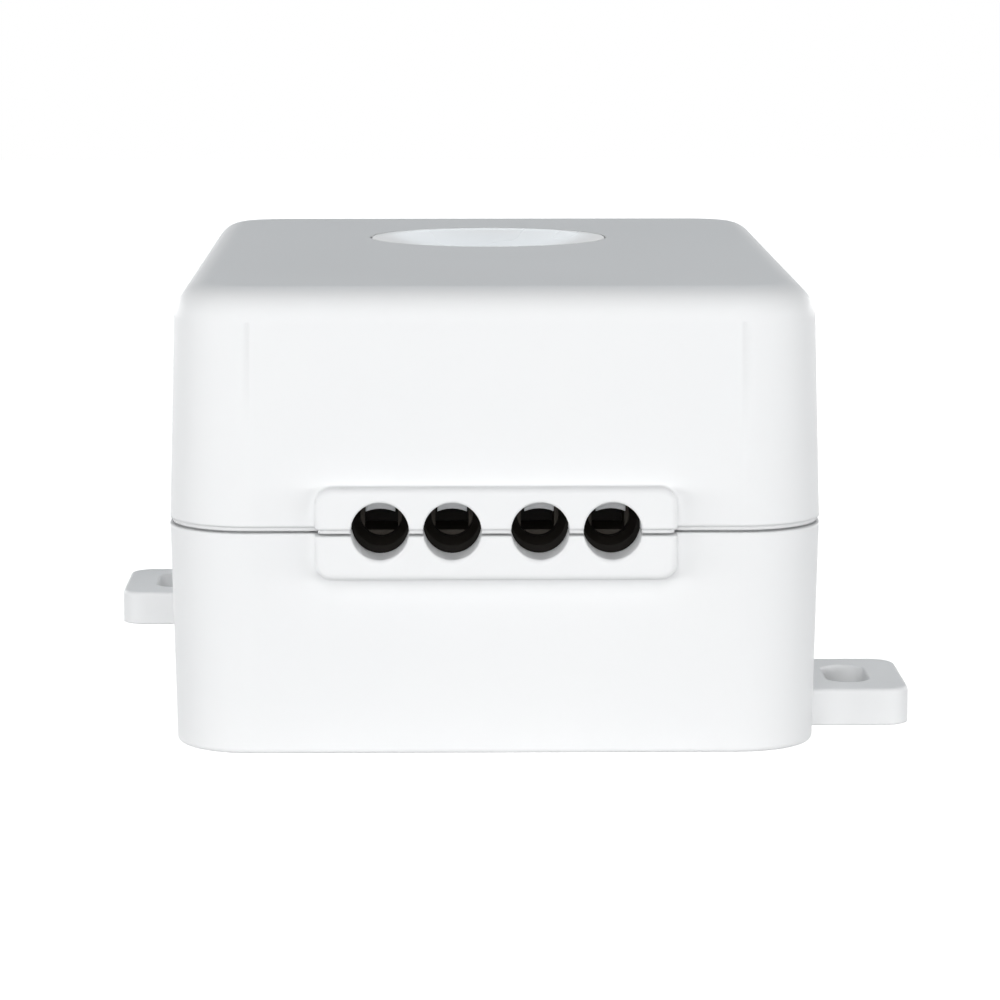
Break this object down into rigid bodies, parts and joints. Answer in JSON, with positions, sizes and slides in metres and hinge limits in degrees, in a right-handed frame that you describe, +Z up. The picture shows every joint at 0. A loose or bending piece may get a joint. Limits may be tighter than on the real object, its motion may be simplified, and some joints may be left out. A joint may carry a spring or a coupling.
{
  "type": "smart relay module",
  "caption": "Moulded split box with wire entries in its seam, slotted mounting ears and a dished push button, holding a relay, its mains supply and a radio board.",
  "frame": {"origin": "middle of the foot, on the surface that the module stands on", "axes": "+Z up through the roof, -Y out of the wire entries, +X to the right seen from that end"},
  "size_m": [0.061, 0.0689, 0.0331],
  "materials": {
    "housing_white": "satin moulded, fine texture",
    "button_white": "smooth satin",
    "zinc_steel": "zinc plated",
    "board_green": "solder resist on glass laminate",
    "terminal_black": "moulded, satin",
    "cage_black": "black oxide",
    "tinned_copper": "tinned",
    "relay_smoke": "clear smoked moulding",
    "relay_base_black": "moulded",
    "bobbin_ivory": "moulded",
    "winding_copper": "enamelled wire",
    "relay_iron": "nickelled iron",
    "spring_bronze": "rolled bronze strip",
    "ferrite": "sintered",
    "winding_tape": "polyester tape",
    "resistor_enamel": "cement coat",
    "varistor_blue": "dipped epoxy",
    "sleeve_black": "shrunk sleeve",
    "sleeve_green": "shrunk sleeve",
    "film_yellow": "moulded box",
    "chip_black": "moulded epoxy",
    "shield_tin": "tinned sheet",
    "switch_black": "moulded",
    "lamp_white": "moulded with clear resin"
  },
  "bodies": {
    "base": {"base_shell": "housing_white", "cover_screws": "zinc_steel", "circuit_board": "board_green", "board_screws": "zinc_steel", "terminal_block_left": "terminal_black", "terminal_block_right": "terminal_black", "terminal_tails": "tinned_copper", "relay_base": "relay_base_black", "relay_case": "relay_smoke", "relay_bobbin": "bobbin_ivory", "relay_winding": "winding_copper", "relay_core": "relay_iron", "relay_yoke": "relay_iron", "relay_fixed_contacts": "spring_bronze", "transformer_core": "ferrite", "transformer_bobbin": "relay_base_black", "transformer_winding": "winding_tape", "fusible_resistor": "resistor_enamel", "varistor": "varistor_blue", "mains_capacitor": "sleeve_black", "film_capacitor": "film_yellow", "output_capacitor": "sleeve_green", "bridge_rectifier": "chip_black", "supply_chip": "chip_black", "radio_board": "board_green", "radio_shield": "shield_tin", "radio_header": "switch_black", "switch_body": "switch_black", "switch_frame": "shield_tin", "indicator_led": "lamp_white"},
    "cover": {"cover_shell": "housing_white"},
    "button": {"push_button": "button_white"},
    "plunger": {"switch_plunger": "switch_black"},
    "armature": {"relay_armature": "relay_iron", "relay_contact_spring": "spring_bronze"},
    "clamp_screw_1": {"terminal_screw_1": "zinc_steel"},
    "clamp_screw_2": {"terminal_screw_2": "zinc_steel"},
    "clamp_screw_3": {"terminal_screw_3": "zinc_steel"},
    "clamp_screw_4": {"terminal_screw_4": "zinc_steel"},
    "cage_1": {"wire_cage_1": "cage_black"},
    "cage_2": {"wire_cage_2": "cage_black"},
    "cage_3": {"wire_cage_3": "cage_black"},
    "cage_4": {"wire_cage_4": "cage_black"}
  },
  "joints": [
    {"name": "cover_lift", "type": "slide", "parent": "base", "child": "cover", "axis": [0, 0, 1], "range_m": [0, 0.04]},
    {"name": "button_press", "type": "slide", "parent": "cover", "child": "button", "axis": [0, 0, -1], "range_m": [0, 0.0003], "stiffness_N_per_m": 800, "springref_m": -0.0005},
    {"name": "plunger_press", "type": "slide", "parent": "base", "child": "plunger", "axis": [0, 0, -1], "range_m": [0, 0.0003]},
    {"name": "armature_swing", "type": "hinge", "parent": "base", "child": "armature", "pos_m": [0.01169, 0.00275, 0.02215], "axis": [1, 0, 0], "range_deg": [0, 2.5], "stiffness_Nm_per_rad": 0.01, "springref_deg": -5.73},
    {"name": "clamp_turn_1", "type": "hinge", "parent": "base", "child": "clamp_screw_1", "pos_m": [-0.00816, -0.02445, 0.022], "axis": [0, 0, -1], "range_deg": [0, 1080]},
    {"name": "cage_climb_1", "type": "slide", "parent": "base", "child": "cage_1", "axis": [0, 0, 1], "range_m": [0, 0.0015]},
    {"name": "clamp_turn_2", "type": "hinge", "parent": "base", "child": "clamp_screw_2", "pos_m": [-0.00308, -0.02445, 0.022], "axis": [0, 0, -1], "range_deg": [0, 1080]},
    {"name": "cage_climb_2", "type": "slide", "parent": "base", "child": "cage_2", "axis": [0, 0, 1], "range_m": [0, 0.0015]},
    {"name": "clamp_turn_3", "type": "hinge", "parent": "base", "child": "clamp_screw_3", "pos_m": [0.00308, -0.02445, 0.022], "axis": [0, 0, -1], "range_deg": [0, 1080]},
    {"name": "cage_climb_3", "type": "slide", "parent": "base", "child": "cage_3", "axis": [0, 0, 1], "range_m": [0, 0.0015]},
    {"name": "clamp_turn_4", "type": "hinge", "parent": "base", "child": "clamp_screw_4", "pos_m": [0.00816, -0.02445, 0.022], "axis": [0, 0, -1], "range_deg": [0, 1080]},
    {"name": "cage_climb_4", "type": "slide", "parent": "base", "child": "cage_4", "axis": [0, 0, 1], "range_m": [0, 0.0015]}
  ],
  "couplings": [
    {"joint": "plunger_press", "follows": "button_press", "ratio": 1},
    {"joint": "clamp_turn_1", "follows": "cage_climb_1", "rad_per_m": 12566},
    {"joint": "clamp_turn_2", "follows": "cage_climb_2", "rad_per_m": 12566},
    {"joint": "clamp_turn_3", "follows": "cage_climb_3", "rad_per_m": 12566},
    {"joint": "clamp_turn_4", "follows": "cage_climb_4", "rad_per_m": 12566}
  ]
}
